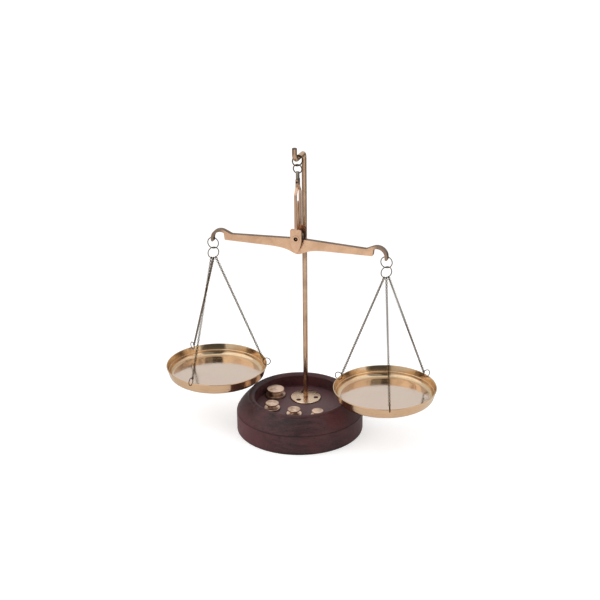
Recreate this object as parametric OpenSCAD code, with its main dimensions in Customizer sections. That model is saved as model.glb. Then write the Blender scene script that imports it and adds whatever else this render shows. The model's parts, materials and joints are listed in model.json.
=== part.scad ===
// A brass equal-arm balance. Its beam hangs in a two-legged fork from a hooked post, which stands
// on a turned wooden base with a tray for the loose weights.
// The beam lies along X through the base's axis, the post stands behind it at +Y, and Z = 0 is the table.
// Heights are worked out from the table upwards: base, pan, chain, rings, beam, fork, hook.

/* [Wooden base] */
// Radius of the straight drum
base_r = 64.8; // [58:0.1:80]
// Height of the rim's crest above the table
base_h = 37.4; // [34:0.1:46]
// Height of the straight drum, up to the turned groove
drum_h = 20.6; // [14:0.1:24]
// Distance that the shoulder slopes in, from the drum to the rim
shoulder_in = 12.4; // [8:0.1:16]
// Width of the rim from its outer edge to the tray's wall
rim_w = 5.9; // [4:0.1:8]
// Depth of the tray below the rim's crest
tray_depth = 13.9; // [9:0.1:16]
// Radius of the cove between the tray's wall and its floor
tray_cove = 1; // [0.5:0.1:4]
// Radius of the turned groove under the shoulder
groove_r = 0.6; // [0.3:0.05:1]
// Thickness of the felt let into the underside
felt_t = 1.4; // [0.8:0.1:2.5]
// Width of the wooden foot ring outside the felt
foot_w = 6.5; // [4:0.5:12]

/* [Post] */
// Diameter of the bent rod
rod_d = 4.8; // [3.5:0.1:6.5]
// Place of the post between the base's centre (0) and the tray's wall (1)
post_share = 0.645; // [0.55:0.005:0.8]
// Radius of the forward bend at the post's top
bend_r = 4.5; // [3:0.1:6]
// Length that the rod runs level in front of the hanging ring
trough_flat = 1.6; // [1.2:0.1:4]
// Radius of the upward bend that closes the hook
trough_r = 7.2; // [5:0.1:10]
// Straight length of the hook's tip above the bend
tip_len = 5.6; // [2:0.1:8]
// Depth that the post's foot reaches into the wood
foot_in = 9; // [5:0.5:11]
// Radius of the brass flange
flange_r = 15.7; // [12:0.1:18]
// Thickness of the flange
flange_t = 1.2; // [0.8:0.1:2]
// Radius of the circle that the flange's screws stand on
screw_pcr = 10.7; // [8:0.1:11.5]
// Diameter of the screws' shanks
screw_d = 2.6; // [2:0.1:3]
// Diameter of the screws' countersunk heads
screw_head_d = 5; // [4:0.1:5.6]
// Length of the screws
screw_len = 10; // [7:0.5:11]

/* [Rings of the hanger] */
// Outer diameter of the ring on the hook
hook_ring_d = 11.8; // [11:0.1:15]
// Wire of the ring on the hook
hook_ring_w = 1.2; // [0.9:0.05:1.5]
// Outer diameter of the ring that holds the strap
link_ring_d = 9.8; // [8.8:0.1:13]
// Wire of the ring that holds the strap
link_ring_w = 1.1; // [0.8:0.05:1.3]
// Turn between two rings that hang in each other
ring_twist = 42; // [40:1:90]

/* [Steel strap] */
// Width of the strap folded over the ring
strap_w = 2.6; // [1.8:0.1:3]
// Thickness of the strap
strap_t = 0.85; // [0.6:0.05:1.1]
// Inner radius of the strap's fold
strap_bend_r = 0.9; // [0.85:0.05:1.5]
// Distance from the rivet to the fold's centre
strap_len = 8.7; // [6:0.1:12]
// Diameter of the rivet
rivet_d = 1.2; // [1:0.1:1.5]

/* [Fork] */
// Distance from the beam's pivot up to the rivet
fork_len = 57.3; // [50:0.1:70]
// Width of each leg
leg_w = 2.6; // [2.2:0.1:4]
// Thickness of each leg
leg_t = 1.4; // [1:0.1:2]
// Gap between the two cheeks
cheek_gap = 12.6; // [10:0.1:15.5]
// Half width of a cheek at the pivot
cheek_half_w = 5.8; // [5.4:0.1:7]
// Height of a cheek's shoulders above the pivot
cheek_up = 10.1; // [8:0.1:14]
// Depth of a cheek's point below the pivot
cheek_down = 15.7; // [13:0.1:17]
// Radius of the turned boss round the pivot, on a cheek's face
cheek_boss_r = 3.7; // [3:0.1:4.5]

/* [Beam] */
// Distance from the pivot to the hole at either end
arm_len = 90.6; // [76:0.1:110]
// Thickness of the beam
beam_t = 4.8; // [4:0.1:6]
// Diameter of the steel pivot
pivot_d = 3.2; // [2.4:0.1:4]
// Depth of the end holes below the pivot
end_drop = 10.8; // [8:0.1:14]
// Depth of the beam's belly below the pivot
belly_down = 17.6; // [16.5:0.1:22]
// Radius of the swan neck's curve
neck_r = 9.1; // [7.5:0.1:11]
// Thickness of the swan neck, seen from the front
neck_t = 2.9; // [2.6:0.1:3.8]
// Diameter of the hole for the ring
neck_hole_d = 1.8; // [1.7:0.05:2]
// Height of the needle's tip above the pivot
needle_up = 37.6; // [28:0.1:44]
// Width of the needle at its foot
needle_w = 3.2; // [2:0.1:4]
// Width of the needle at its tip
needle_tip_w = 0.9; // [0.6:0.1:1.5]
// Thickness of the needle
needle_t = 1.6; // [1:0.1:2]

/* [Pans] */
// Radius of a pan at its rim
pan_r = 51.9; // [43:0.1:62]
// Distance that a pan's wall slopes in, from rim to floor
pan_flare = 2.6; // [1:0.1:4]
// Height of a pan
pan_h = 11.2; // [9:0.1:14]
// Thickness of the sheet
pan_t = 0.9; // [0.6:0.05:1.2]
// Clear height of a hanging pan over the base's rim
pan_clear = 9.4; // [8:0.1:14]
// Outer diameter of the small rings through the rim
rim_ring_d = 7.6; // [6.5:0.1:9]
// Wire of the small rings
rim_ring_w = 0.75; // [0.6:0.05:0.9]
// Depth of the rings' holes below the rim
rim_hole_down = 2.4; // [2:0.1:3]
// Angle of the left pan's first ring, seen from above
left_turn = 21; // [0:1:119]
// Angle of the right pan's first ring, seen from above
right_turn = 51; // [0:1:119]

/* [Chains and their rings] */
// Straight length of a chain, from the collecting ring to the ring at the rim
chain_len = 124.4; // [104:0.1:150]
// Outer diameter of a chain link
link_d = 2.95; // [2.8:0.05:3.6]
// Wire of a chain link
link_w = 0.62; // [0.45:0.01:0.65]
// Outer diameter of the two rings at each end of the beam
end_ring_d = 12.4; // [11:0.1:15]
// Wire of those rings
end_ring_w = 0.9; // [0.7:0.05:1]
// Angle between neighbouring chains on the collecting ring
chain_fan = 25; // [24:1:34]

/* [Weights] */
// Radii of the weights' feet, the largest first
weight_foot_r = [10.3, 8.2, 7.9, 7];
// Radii of the weights' knobs
weight_knob_r = [9, 6.9, 6.5, 5.9];
// Heights of the weights
weight_h = [8, 6.6, 6.3, 5.7];
// Angles of the weights round the tray
weight_at = [154.6, 211.8, 272.7, 326.5];
// Places of the weights between the tray's centre (0) and the cove at its wall (1)
weight_share = [0.99, 0.779, 0.564, 0.764];

/* [Fits] */
// Radial clearance where a pin turns in its hole
running_c = 0.05; // [0.02:0.01:0.1]
// Radial clearance where a piece is pressed, screwed or brazed in
fixed_c = 0.02; // [0.01:0.01:0.04]
// Gap between two rings or links where one hangs in the other
hang_c = 0.1; // [0.05:0.01:0.14]
// Gap beside a plate that swings past another
side_c = 0.15; // [0.1:0.05:0.3]

/* [Hidden] */
$fn = 96;
eps = 0.01;

brass = [0.79, 0.60, 0.36];
pan_brass = [0.83, 0.66, 0.38];
weight_brass = [0.84, 0.66, 0.49];
chain_brass = [0.50, 0.42, 0.26];
steel = [0.42, 0.41, 0.40];
wood = [0.26, 0.11, 0.10];
felt = [0.12, 0.24, 0.16];

// The tray and what stands in it
rim_out_r = base_r - shoulder_in;
tray_r = rim_out_r - rim_w;
floor_z = base_h - tray_depth;
post_y = post_share * (tray_r - flange_r);
flange_top = floor_z + flange_t;
rod_r = rod_d / 2;

// From the base up to the collecting ring of a pan
pan_floor_z = base_h + pan_clear;
pan_rim_z = pan_floor_z + pan_h;
rim_ring_r = (rim_ring_d - rim_ring_w) / 2;
rim_hole_z = pan_rim_z - rim_hole_down;
rim_hole_r = rim_ring_w / 2 + 0.3;
wall_slope = pan_flare / pan_h;
rim_ring_at = pan_r - wall_slope * rim_hole_down - pan_t / 2;
rim_ring_z = rim_hole_z + rim_ring_r;
hitch_r = rim_ring_at - rim_ring_r * cos(45);
hitch_z = rim_ring_z + rim_ring_r * sin(45);
end_ring_r = (end_ring_d - end_ring_w) / 2;
collect_low = hitch_z + sqrt(pow(chain_len, 2) - pow(hitch_r, 2));
collect_z = collect_low + end_ring_r;

// From the collecting ring up to the beam's pivot
end_ring_z = collect_z + 2 * end_ring_r - end_ring_w - hang_c;
hole_z = end_ring_z + end_ring_r - hang_c;
pivot_z = hole_z + end_drop;

// From the pivot up to the hook
rivet_z = pivot_z + fork_len;
fold_z = rivet_z + strap_len;
link_ring_r = (link_ring_d - link_ring_w) / 2;
hook_ring_r = (hook_ring_d - hook_ring_w) / 2;
link_ring_z = fold_z - 0.12 + link_ring_r;
hook_ring_z = link_ring_z + link_ring_r - (hook_ring_w + link_ring_w) / 2 - hang_c + hook_ring_r;
trough_z = hook_ring_z + hook_ring_r - hook_ring_w / 2 - hang_c - rod_r;

// The fork's plates, measured across the beam
cheek_in = cheek_gap / 2;
fork_top_in = strap_bend_r + strap_t + side_c;
fork_top_up = 2.7;
spread_top = rivet_z - 3.4;
spread_low = spread_top - 10;

// The beam's outline, measured from the pivot
hub_r = 5.4;
hub_flat = 5;
arm_top = -1.5;
arm_end_top = -4.4;
arm_low = -11.1;
neck_x = arm_len - neck_r;
ramp_x = neck_x - 11.5;
arm_end_x = neck_x - 4.4;
neck_tip = 2.1;
belly_half = 9.5;

// Points along a shallow arc from a to b, bulging to the left of the way by sag.
function bow(a, b, sag, steps) =
    [for (i = [0:steps])
        let (t = i / steps, d = b - a)
        a + d * t + [-d[1], d[0]] / norm(d) * sag * 4 * t * (1 - t)];

// Points on a circle round c, from angle a0 to a1.
function arc(c, r, a0, a1, steps) =
    [for (i = [0:steps]) c + r * [cos(a0 + (a1 - a0) * i / steps), sin(a0 + (a1 - a0) * i / steps)]];

function unit(v) = v / norm(v);

// The part of v that stands square to the unit vector d, as a unit vector.
function square_to(v, d) = unit(v - (v * d) * d);

// A direction that is a turned by angle t towards b.
function turned(a, b, t) = a * cos(t) + b * sin(t);

// A ring of round wire round the origin, with its axis along Z.
module ring(radius, wire)
    rotate_extrude() translate([radius, 0]) circle(d = wire);

// Puts a piece's own Z axis along n, at c.
module aim(c, n) {
    side = abs(n[2]) < 0.9 ? [0, 0, 1] : [1, 0, 0];
    u = unit(cross(side, n));
    v = cross(n, u);
    multmatrix([[u[0], v[0], n[0], c[0]], [u[1], v[1], n[1], c[1]], [u[2], v[2], n[2], c[2]], [0, 0, 0, 1]])
        children();
}

// A wire ring that stands upright, its plane turned about Z from the XZ plane.
module upright_ring(c, radius, wire, turn)
    translate(c) rotate([90, 0, turn]) ring(radius, wire);

// The turned base, hollowed below for the felt and above for the weights.
module base() {
    crest = [rim_out_r - 2.2, base_h];
    lip = [tray_r, base_h - 2.2];
    outline = concat(
        [[0, 0], [base_r - 0.9, 0]],
        bow([base_r - 0.9, 0], [base_r, 0.9], -0.25, 3),
        [[base_r, drum_h]],
        bow([base_r - groove_r / 2, drum_h + groove_r], [rim_out_r + 0.9, base_h - 2.4], -0.9, 8),
        bow([rim_out_r + 0.4, base_h - 1.4], crest, -0.5, 5),
        bow(crest, lip, -0.3, 4),
        arc([tray_r - tray_cove, floor_z + tray_cove], tray_cove, 0, -90, 5),
        [[0, floor_z]]);
    color(wood)
    difference() {
        rotate_extrude() polygon(outline);
        translate([0, 0, drum_h + 0.1]) ring(base_r, groove_r * 2);
        translate([0, 0, -1]) cylinder(r = base_r - foot_w, h = 1 + felt_t);
        translate([0, post_y, floor_z - foot_in - 0.5]) cylinder(r = rod_r + fixed_c, h = foot_in + 1);
        for (a = screw_angles()) {
            translate([screw_pcr * cos(a), post_y + screw_pcr * sin(a), floor_z - screw_len])
                cylinder(d = screw_d + 2 * fixed_c, h = screw_len + 1);
        }
    }
}

function screw_angles() = [5, 125, 245];

module base_felt()
    color(felt) cylinder(r = base_r - foot_w - 0.3, h = felt_t - fixed_c);

// The disc that carries the post, let down on the tray's floor by three countersunk screws.
module post_flange() {
    sink = (screw_head_d - screw_d) / 2;
    color(brass)
    difference() {
        translate([0, post_y, floor_z])
            rotate_extrude()
                polygon([[0, 0], [flange_r, 0], [flange_r, flange_t - 0.4], [flange_r - 0.4, flange_t], [0, flange_t]]);
        translate([0, post_y, floor_z - 1]) cylinder(r = rod_r + fixed_c, h = flange_t + 2);
        for (a = screw_angles()) {
            translate([screw_pcr * cos(a), post_y + screw_pcr * sin(a), 0]) {
                translate([0, 0, floor_z - 1]) cylinder(d = screw_d + 2 * fixed_c, h = flange_t + 2);
                translate([0, 0, flange_top - sink])
                    cylinder(d1 = screw_d + 2 * fixed_c, d2 = screw_head_d + 2 * fixed_c + 2 * eps, h = sink + eps);
            }
        }
    }
}

// One slotted wood screw with its head's top at the origin.
module wood_screw() {
    sink = (screw_head_d - screw_d) / 2;
    difference() {
        union() {
            translate([0, 0, -sink]) cylinder(d1 = screw_d, d2 = screw_head_d, h = sink);
            translate([0, 0, -screw_len + 2]) cylinder(d = screw_d, h = screw_len - 2 - sink / 2);
            translate([0, 0, -screw_len + 0.2]) cylinder(d1 = 0.6, d2 = screw_d, h = 1.8);
        }
        translate([-screw_head_d, -0.4, -0.55]) cube([2 * screw_head_d, 0.8, 2]);
    }
}

module flange_screws()
    color(steel)
    for (a = screw_angles()) {
        translate([screw_pcr * cos(a), post_y + screw_pcr * sin(a), flange_top])
            rotate([0, 0, a * 3 + 20]) wood_screw();
    }

// A quarter bend of round rod in the YZ plane round the centre c = [y, z], from angle a0 on.
module rod_bend(c, r, a0)
    translate([0, c[0], c[1]]) rotate([90, 0, 90]) rotate([0, 0, a0])
        rotate_extrude(angle = 90) translate([r, 0]) circle(r = rod_r);

// The rod: up from the wood, bent forward, level to the trough that the ring hangs in, and up to its tip.
module post() {
    bend_y = post_y - bend_r;
    bend_z = trough_z - bend_r;
    low = floor_z - foot_in;
    color(brass) {
        union() {
            translate([0, post_y, low]) cylinder(r1 = rod_r - 0.4, r2 = rod_r, h = 0.4);
            translate([0, post_y, low + 0.4]) cylinder(r = rod_r, h = bend_z - low - 0.4);
            rod_bend([bend_y, bend_z], bend_r, 0);
            translate([0, bend_y, trough_z]) rotate([90, 0, 0]) cylinder(r = rod_r, h = bend_y + trough_flat);
            rod_bend([-trough_flat, trough_z + trough_r], trough_r, 180);
            translate([0, -trough_flat - trough_r, trough_z + trough_r]) {
                cylinder(r = rod_r, h = tip_len - 0.3);
                translate([0, 0, tip_len - 0.3]) cylinder(r1 = rod_r, r2 = rod_r - 0.3, h = 0.3);
            }
        }
    }
}

module hook_ring()
    color(chain_brass) upright_ring([0, 0, hook_ring_z], hook_ring_r, hook_ring_w, ring_twist);

module link_ring()
    color(chain_brass) upright_ring([0, 0, link_ring_z], link_ring_r, link_ring_w, 0);

// A steel strip folded over the lower ring, with its ends side by side between the fork's plates.
module hanger_strap() {
    out_r = strap_bend_r + strap_t;
    end_r = strap_w / 2;
    color(steel)
    difference() {
        union() {
            translate([-end_r, 0, fold_z]) rotate([0, 90, 0]) cylinder(r = out_r, h = strap_w);
            translate([-end_r, -out_r, rivet_z]) cube([strap_w, 2 * out_r, strap_len]);
            translate([0, out_r, rivet_z]) rotate([90, 0, 0]) cylinder(r = end_r, h = 2 * out_r);
        }
        translate([-end_r - 1, 0, fold_z]) rotate([0, 90, 0]) cylinder(r = strap_bend_r, h = strap_w + 2);
        translate([-end_r - 1, -strap_bend_r, rivet_z - end_r - 1])
            cube([strap_w + 2, 2 * strap_bend_r, strap_len + end_r + 1]);
        translate([0, out_r + 1, rivet_z]) rotate([90, 0, 0])
            cylinder(d = rivet_d + 2 * running_c, h = 2 * out_r + 2);
    }
}

// The rivet through both plates and the strap, closed with a domed head at each end.
module hanger_rivet() {
    out = fork_top_in + leg_t;
    head_r = rivet_d * 0.95;
    color(steel)
    translate([0, 0, rivet_z]) rotate([90, 0, 0]) {
        translate([0, 0, -out]) cylinder(d = rivet_d, h = 2 * out);
        for (s = [-1, 1]) {
            scale([1, 1, s]) translate([0, 0, out])
                rotate_extrude() polygon(concat([[0, 0]], arc([0, 0], head_r, 0, 90, 5)));
        }
    }
}

// One plate of the fork, seen from the front: a straight leg, and a shield-shaped cheek round the pivot.
module fork_front_view(leg_low, leg_high, half_w) {
    // The cheek's two lower edges are arcs that meet in its point.
    edge_r = (pow(half_w, 2) + pow(cheek_down + 1, 2)) / (2 * half_w);
    point_a = asin((cheek_down + 1) / edge_r);
    right = arc([half_w - edge_r, 1], edge_r, -point_a, 0, 12);
    left = [for (i = [len(right) - 1:-1:1]) [-right[i][0], right[i][1]]];
    shoulder = concat(
        arc([half_w - 2, cheek_up - 2], 2, 0, 90, 6),
        arc([-half_w + 2, cheek_up - 2], 2, 90, 180, 6));
    polygon(concat(right, shoulder, left));
    translate([-leg_w / 2, leg_low]) square([leg_w, leg_high - leg_low]);
}

// The back half of the fork: cheek, leg, the step in towards the middle, and the riveted top.
module fork_plate() {
    step_in = cheek_in - fork_top_in;
    leg_top = spread_low - pivot_z;
    top = rivet_z + fork_top_up;
    color(brass)
    difference() {
        union() {
            translate([0, cheek_in + leg_t, pivot_z]) rotate([90, 0, 0])
                linear_extrude(leg_t) fork_front_view(0, leg_top, cheek_half_w);
            translate([0, cheek_in + leg_t, pivot_z]) rotate([-90, 0, 0])
                rotate_extrude()
                    polygon([[0, -0.2], [cheek_boss_r + 0.3, -0.2], [cheek_boss_r, 0.35], [0, 0.35]]);
            translate([-leg_w / 2, 0, 0]) rotate([90, 0, 90])
                linear_extrude(leg_w)
                    polygon(concat(
                        step_curve(cheek_in, -step_in),
                        [[fork_top_in, top], [fork_top_in + leg_t, top]],
                        reversed(step_curve(cheek_in + leg_t, -step_in))));
        }
        translate([0, 0, pivot_z]) rotate([-90, 0, 0])
            cylinder(d = pivot_d + 2 * running_c, h = cheek_gap);
        translate([0, 0, rivet_z]) rotate([-90, 0, 0])
            cylinder(d = rivet_d + 2 * fixed_c, h = cheek_gap);
    }
}

// The smooth step of a leg, from y over to y + dy between the two spread heights.
function step_curve(y, dy) =
    [for (i = [0:10])
        let (t = i / 10)
        [y + dy * (1 - cos(180 * t)) / 2, spread_low + (spread_top - spread_low) * t]];

function reversed(list) = [for (i = [len(list) - 1:-1:0]) list[i]];

module fork_back() fork_plate();

module fork_front() mirror([0, 1, 0]) fork_plate();

// The steel pivot, tight in the beam and turning in both cheeks, with domed ends.
module pivot_pin() {
    half = cheek_in + leg_t - 0.2;
    color(steel)
    translate([0, 0, pivot_z]) rotate([90, 0, 0]) rotate_extrude()
        polygon(concat(
            bow([0, -half], [pivot_d / 2, -half + 0.5], -0.12, 4),
            bow([pivot_d / 2, half - 0.5], [0, half], -0.12, 4)));
}

// The lower edge of the beam sinks from the arms to a rounded belly under the pivot.
function belly_z(x) = arm_low - (belly_down + arm_low) / (1 + pow(x / belly_half, 2) + pow(x / 18, 4));

// One arm from the front, on the +X side of the pivot, which is the origin.
module arm_view() {
    out_r = neck_r + neck_t / 2;
    in_r = neck_r - neck_t / 2;
    crown = [neck_x, -end_drop];
    corner = [ramp_x, arm_end_top];
    // The ramp leaves the arm's top edge and meets the neck's outer curve as its tangent.
    to_corner = corner - crown;
    tangent_a = atan2(to_corner[1], to_corner[0]) - acos(out_r / norm(to_corner));
    inner_a = acos((arm_end_x + 0.9 - neck_x) / in_r);
    lower = [for (x = [0:2:28]) [x, belly_z(x)]];
    upper = [corner, [0, arm_top]];
    neck = concat(
        arc(crown, out_r, tangent_a, 0, 14),
        arc([arm_len, -end_drop - neck_tip], neck_t / 2, 0, -180, 10),
        arc(crown, in_r, 0, inner_a, 14));
    polygon(concat(lower, [[arm_end_x - 0.5, arm_low + 0.1], [arm_end_x, arm_low + 0.7]], reversed(neck), upper));
}

module beam() {
    boss = cheek_in - side_c;
    color(brass)
    difference() {
        union() {
            translate([0, beam_t / 2, pivot_z]) rotate([90, 0, 0])
                linear_extrude(beam_t) {
                    arm_view();
                    mirror([1, 0]) arm_view();
                    difference() {
                        circle(r = hub_r);
                        translate([-hub_r, hub_flat]) square(2 * hub_r);
                    }
                }
            translate([0, boss, pivot_z]) rotate([90, 0, 0]) cylinder(r = hub_r - 0.9, h = 2 * boss);
        }
        translate([0, cheek_gap, pivot_z]) rotate([90, 0, 0])
            cylinder(d = pivot_d + 2 * fixed_c, h = 2 * cheek_gap);
        for (s = [-1, 1]) {
            translate([s * arm_len, 0, hole_z]) rotate([0, 90, 0])
                translate([0, 0, -neck_t]) cylinder(d = neck_hole_d, h = 2 * neck_t);
        }
        translate([0, 0, pivot_z + hub_flat - 2.4]) cylinder(r = needle_t / 2 + fixed_c, h = 4);
    }
}

// The pointer, a slim tapered blade on a round tang that is driven into the beam's hub.
module needle() {
    foot = pivot_z + hub_flat;
    tip = pivot_z + needle_up;
    color(brass)
    union() {
        translate([0, needle_t / 2, 0]) rotate([90, 0, 0])
            linear_extrude(needle_t)
                polygon([[-needle_w / 2, foot], [needle_w / 2, foot],
                         [needle_tip_w / 2, tip - 1], [0, tip], [-needle_tip_w / 2, tip - 1]]);
        translate([0, 0, foot - 2.2]) cylinder(r = needle_t / 2, h = 3);
    }
}

// The ring in the swan neck's hole, and the ring below it that collects the three chains.
module end_hook_ring(x)
    color(chain_brass) upright_ring([x, 0, end_ring_z], end_ring_r, end_ring_w, 0);

module collecting_ring(x)
    color(chain_brass) upright_ring([x, 0, collect_z], end_ring_r, end_ring_w, ring_twist);

// The direction along the collecting ring's wire at its lowest point.
function collect_way() = [cos(ring_twist), sin(ring_twist), 0];

// A chain hangs at -1, 0 or 1 on the collecting ring, in the order in which the rim rings lie.
function chain_place(a, turn) =
    let (mine = cos(a - ring_twist),
         reach = [for (k = [0:2]) cos(turn + 120 * k - ring_twist)])
    mine >= max(reach) - eps ? 1 : mine <= min(reach) + eps ? -1 : 0;

function chain_top(x, place) =
    [x, 0, collect_z] + end_ring_r * (collect_way() * sin(chain_fan * place) - [0, 0, 1] * cos(chain_fan * place));

function chain_top_way(place) = collect_way() * cos(chain_fan * place) + [0, 0, 1] * sin(chain_fan * place);

function chain_foot(x, a) = [x + hitch_r * cos(a), hitch_r * sin(a), hitch_z];

function chain_foot_way(a) = [cos(45) * cos(a), cos(45) * sin(a), sin(45)];

// Round links from one ring's wire to another's, each turned a quarter from the one before.
// The small rest of the turn that the two ends ask for is shared among all the links.
module chain(from, from_way, from_wire, to, to_way, to_wire) {
    way = unit(to - from);
    link_r = (link_d - link_w) / 2;
    first = link_r - (from_wire + link_w) / 2 - hang_c / 2;
    last = link_r - (to_wire + link_w) / 2 - hang_c;
    reach = norm(to - from) - first - last;
    longest_pitch = link_d - 2 * link_w - hang_c / 2;
    steps = ceil(reach / longest_pitch);
    a0 = square_to(from_way, way);
    b0 = cross(way, a0);
    a1 = square_to(to_way, way);
    rest = atan2(a1 * b0, a1 * a0) - 90 * steps;
    twist = 90 + (rest - 180 * round(rest / 180)) / steps;
    for (k = [0:steps]) {
        aim(from + way * (first + reach * k / steps), turned(a0, b0, twist * k))
            ring(link_r, link_w);
    }
}

module pan_chain(side, index) {
    x = side * arm_len;
    turn = side < 0 ? left_turn : right_turn;
    a = turn + 120 * (index - 1);
    place = chain_place(a, turn);
    color(chain_brass)
        chain(chain_top(x, place), chain_top_way(place), end_ring_w,
              chain_foot(x, a), chain_foot_way(a), rim_ring_w);
}

// Three rings through the pan's rim, each upright and pointing outwards.
module rim_rings(x, turn)
    color(chain_brass)
    for (k = [0:2]) {
        a = turn + 120 * k;
        upright_ring([x + rim_ring_at * cos(a), rim_ring_at * sin(a), rim_ring_z], rim_ring_r, rim_ring_w, a);
    }

// A spun dish: flat floor, rounded corner, flared wall and a small bead round the rim.
module pan(x, turn) {
    corner = 2.6;
    low_r = pan_r - pan_flare;
    outline = concat(
        [[0, 0]],
        arc([low_r - corner, corner], corner, -90, -8, 6),
        [[pan_r - 0.15, pan_h - 1.1], [pan_r + 0.2, pan_h - 0.9]],
        arc([pan_r - 0.15, pan_h - 0.5], 0.5, 0, 90, 4),
        [[pan_r - pan_t, pan_h - 0.25], [pan_r - pan_t - 0.1, pan_h - 1.1]],
        arc([low_r - corner, corner], corner - pan_t, -8, -90, 6),
        [[0, pan_t]]);
    color(pan_brass)
    difference() {
        translate([x, 0, pan_floor_z]) rotate_extrude() polygon(outline);
        for (k = [0:2]) {
            translate([x, 0, rim_hole_z]) rotate([0, 90, turn + 120 * k])
                translate([0, 0, rim_ring_at - 3]) cylinder(r = rim_hole_r, h = 6);
        }
    }
}

// A weight turned from one bar: a wide thin foot, a waist and a flat round knob to lift it by.
module weight(i) {
    foot = weight_foot_r[i];
    knob = weight_knob_r[i];
    h = weight_h[i];
    waist = knob * 0.56;
    foot_h = h * 0.27;
    knob_h = h * 0.24;
    neck = h * 0.12;
    at = weight_share[i] * (tray_r - tray_cove - foot);
    round_off = 0.45;
    outline = concat(
        [[0, 0], [foot - 0.3, 0], [foot, 0.3]],
        arc([foot - round_off, foot_h - round_off], round_off, 0, 90, 4),
        arc([waist + neck, foot_h + neck], neck, -90, -180, 5),
        arc([waist + neck, h - knob_h - neck], neck, 180, 90, 5),
        arc([knob - round_off, h - knob_h + round_off], round_off, -90, 0, 4),
        arc([knob - round_off, h - round_off], round_off, 0, 90, 4),
        [[0, h]]);
    color(weight_brass)
        translate([at * cos(weight_at[i]), at * sin(weight_at[i]), floor_z + eps])
            rotate_extrude() polygon(outline);
}

base();
base_felt();
post_flange();
flange_screws();
post();
hook_ring();
link_ring();
hanger_strap();
hanger_rivet();
fork_front();
fork_back();
pivot_pin();
beam();
needle();
end_hook_ring(-arm_len);  // left_hook_ring
collecting_ring(-arm_len);  // left_collecting_ring
pan_chain(-1, 1);  // left_chain_1
pan_chain(-1, 2);  // left_chain_2
pan_chain(-1, 3);  // left_chain_3
rim_rings(-arm_len, left_turn);  // left_rim_rings
pan(-arm_len, left_turn);  // left_pan
end_hook_ring(arm_len);  // right_hook_ring
collecting_ring(arm_len);  // right_collecting_ring
pan_chain(1, 1);  // right_chain_1
pan_chain(1, 2);  // right_chain_2
pan_chain(1, 3);  // right_chain_3
rim_rings(arm_len, right_turn);  // right_rim_rings
pan(arm_len, right_turn);  // right_pan
weight(0);  // weight_1
weight(1);  // weight_2
weight(2);  // weight_3
weight(3);  // weight_4
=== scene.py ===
# %% [markdown]
# # A brass equal-arm balance on a round wooden base
#
# The balance was measured and built as exact solids before this file was written. Here it gets its
# looks. A model like this could be shown straight from the solids, but solids know nothing of grain,
# polish or tarnish, so this file keeps the shapes that are right, rebuilds the ones that Blender can
# make finer, and gives every surface a finish of its own. All lengths are in metres, Z is up, and the
# table is the plane Z = 0.

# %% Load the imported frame
import json
from math import cos, pi, radians, sin, sqrt

import bpy
from mathutils import Matrix, Vector

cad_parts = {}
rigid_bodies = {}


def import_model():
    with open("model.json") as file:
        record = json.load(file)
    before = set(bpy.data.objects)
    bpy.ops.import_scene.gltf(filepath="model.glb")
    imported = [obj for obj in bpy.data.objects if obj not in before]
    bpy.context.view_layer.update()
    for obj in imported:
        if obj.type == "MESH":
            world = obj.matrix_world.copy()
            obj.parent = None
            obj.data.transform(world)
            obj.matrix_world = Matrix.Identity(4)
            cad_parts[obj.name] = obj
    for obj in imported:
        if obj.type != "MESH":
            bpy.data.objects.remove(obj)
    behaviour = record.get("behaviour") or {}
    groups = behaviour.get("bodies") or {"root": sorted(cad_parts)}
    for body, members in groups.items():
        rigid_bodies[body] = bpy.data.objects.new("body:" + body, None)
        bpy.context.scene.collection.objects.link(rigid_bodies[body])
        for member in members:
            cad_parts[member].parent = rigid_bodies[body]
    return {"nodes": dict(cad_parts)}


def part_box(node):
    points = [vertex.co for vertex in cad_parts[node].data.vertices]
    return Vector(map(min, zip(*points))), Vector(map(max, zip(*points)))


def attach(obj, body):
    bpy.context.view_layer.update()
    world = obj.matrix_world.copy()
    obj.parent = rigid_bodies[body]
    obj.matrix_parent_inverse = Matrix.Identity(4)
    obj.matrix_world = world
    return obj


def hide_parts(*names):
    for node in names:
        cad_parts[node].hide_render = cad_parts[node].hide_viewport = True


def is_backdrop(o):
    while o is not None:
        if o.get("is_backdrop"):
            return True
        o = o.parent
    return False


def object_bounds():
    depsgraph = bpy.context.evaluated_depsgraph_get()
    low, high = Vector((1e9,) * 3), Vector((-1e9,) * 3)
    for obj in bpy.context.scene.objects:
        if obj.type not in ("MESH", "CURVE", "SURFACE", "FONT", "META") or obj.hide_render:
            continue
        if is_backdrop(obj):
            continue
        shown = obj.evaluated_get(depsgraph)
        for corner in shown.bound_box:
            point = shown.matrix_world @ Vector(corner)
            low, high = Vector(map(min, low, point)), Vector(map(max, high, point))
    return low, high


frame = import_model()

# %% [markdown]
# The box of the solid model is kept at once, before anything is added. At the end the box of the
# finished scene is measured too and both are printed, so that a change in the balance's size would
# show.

NODES = frame["nodes"]
SOLID_BOX = [[float(v) for v in corner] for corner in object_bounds()]
print("solid model from", SOLID_BOX[0], "to", SOLID_BOX[1])

# %% [markdown]
# ## The camera
#
# The photograph was taken with a long lens from a little above and to the side. Its place was worked out
# from the ellipses of the base and the pans and from the ends of the beam, so that those points fall
# where the picture shows them. It could also be found by eye, but a measured camera makes every later
# comparison honest. The small shift stands for a picture that was cut a little off the lens's axis.

# %% Place the camera
AIM = Vector((0, 0, 0.150))
DISTANCE = 1.62573
TURN, RISE, ROLL = radians(18.828), radians(22.332), radians(-0.522)
LENS, SENSOR = 97.53, 36
SHIFT = (0.00213, -0.0137)


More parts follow.
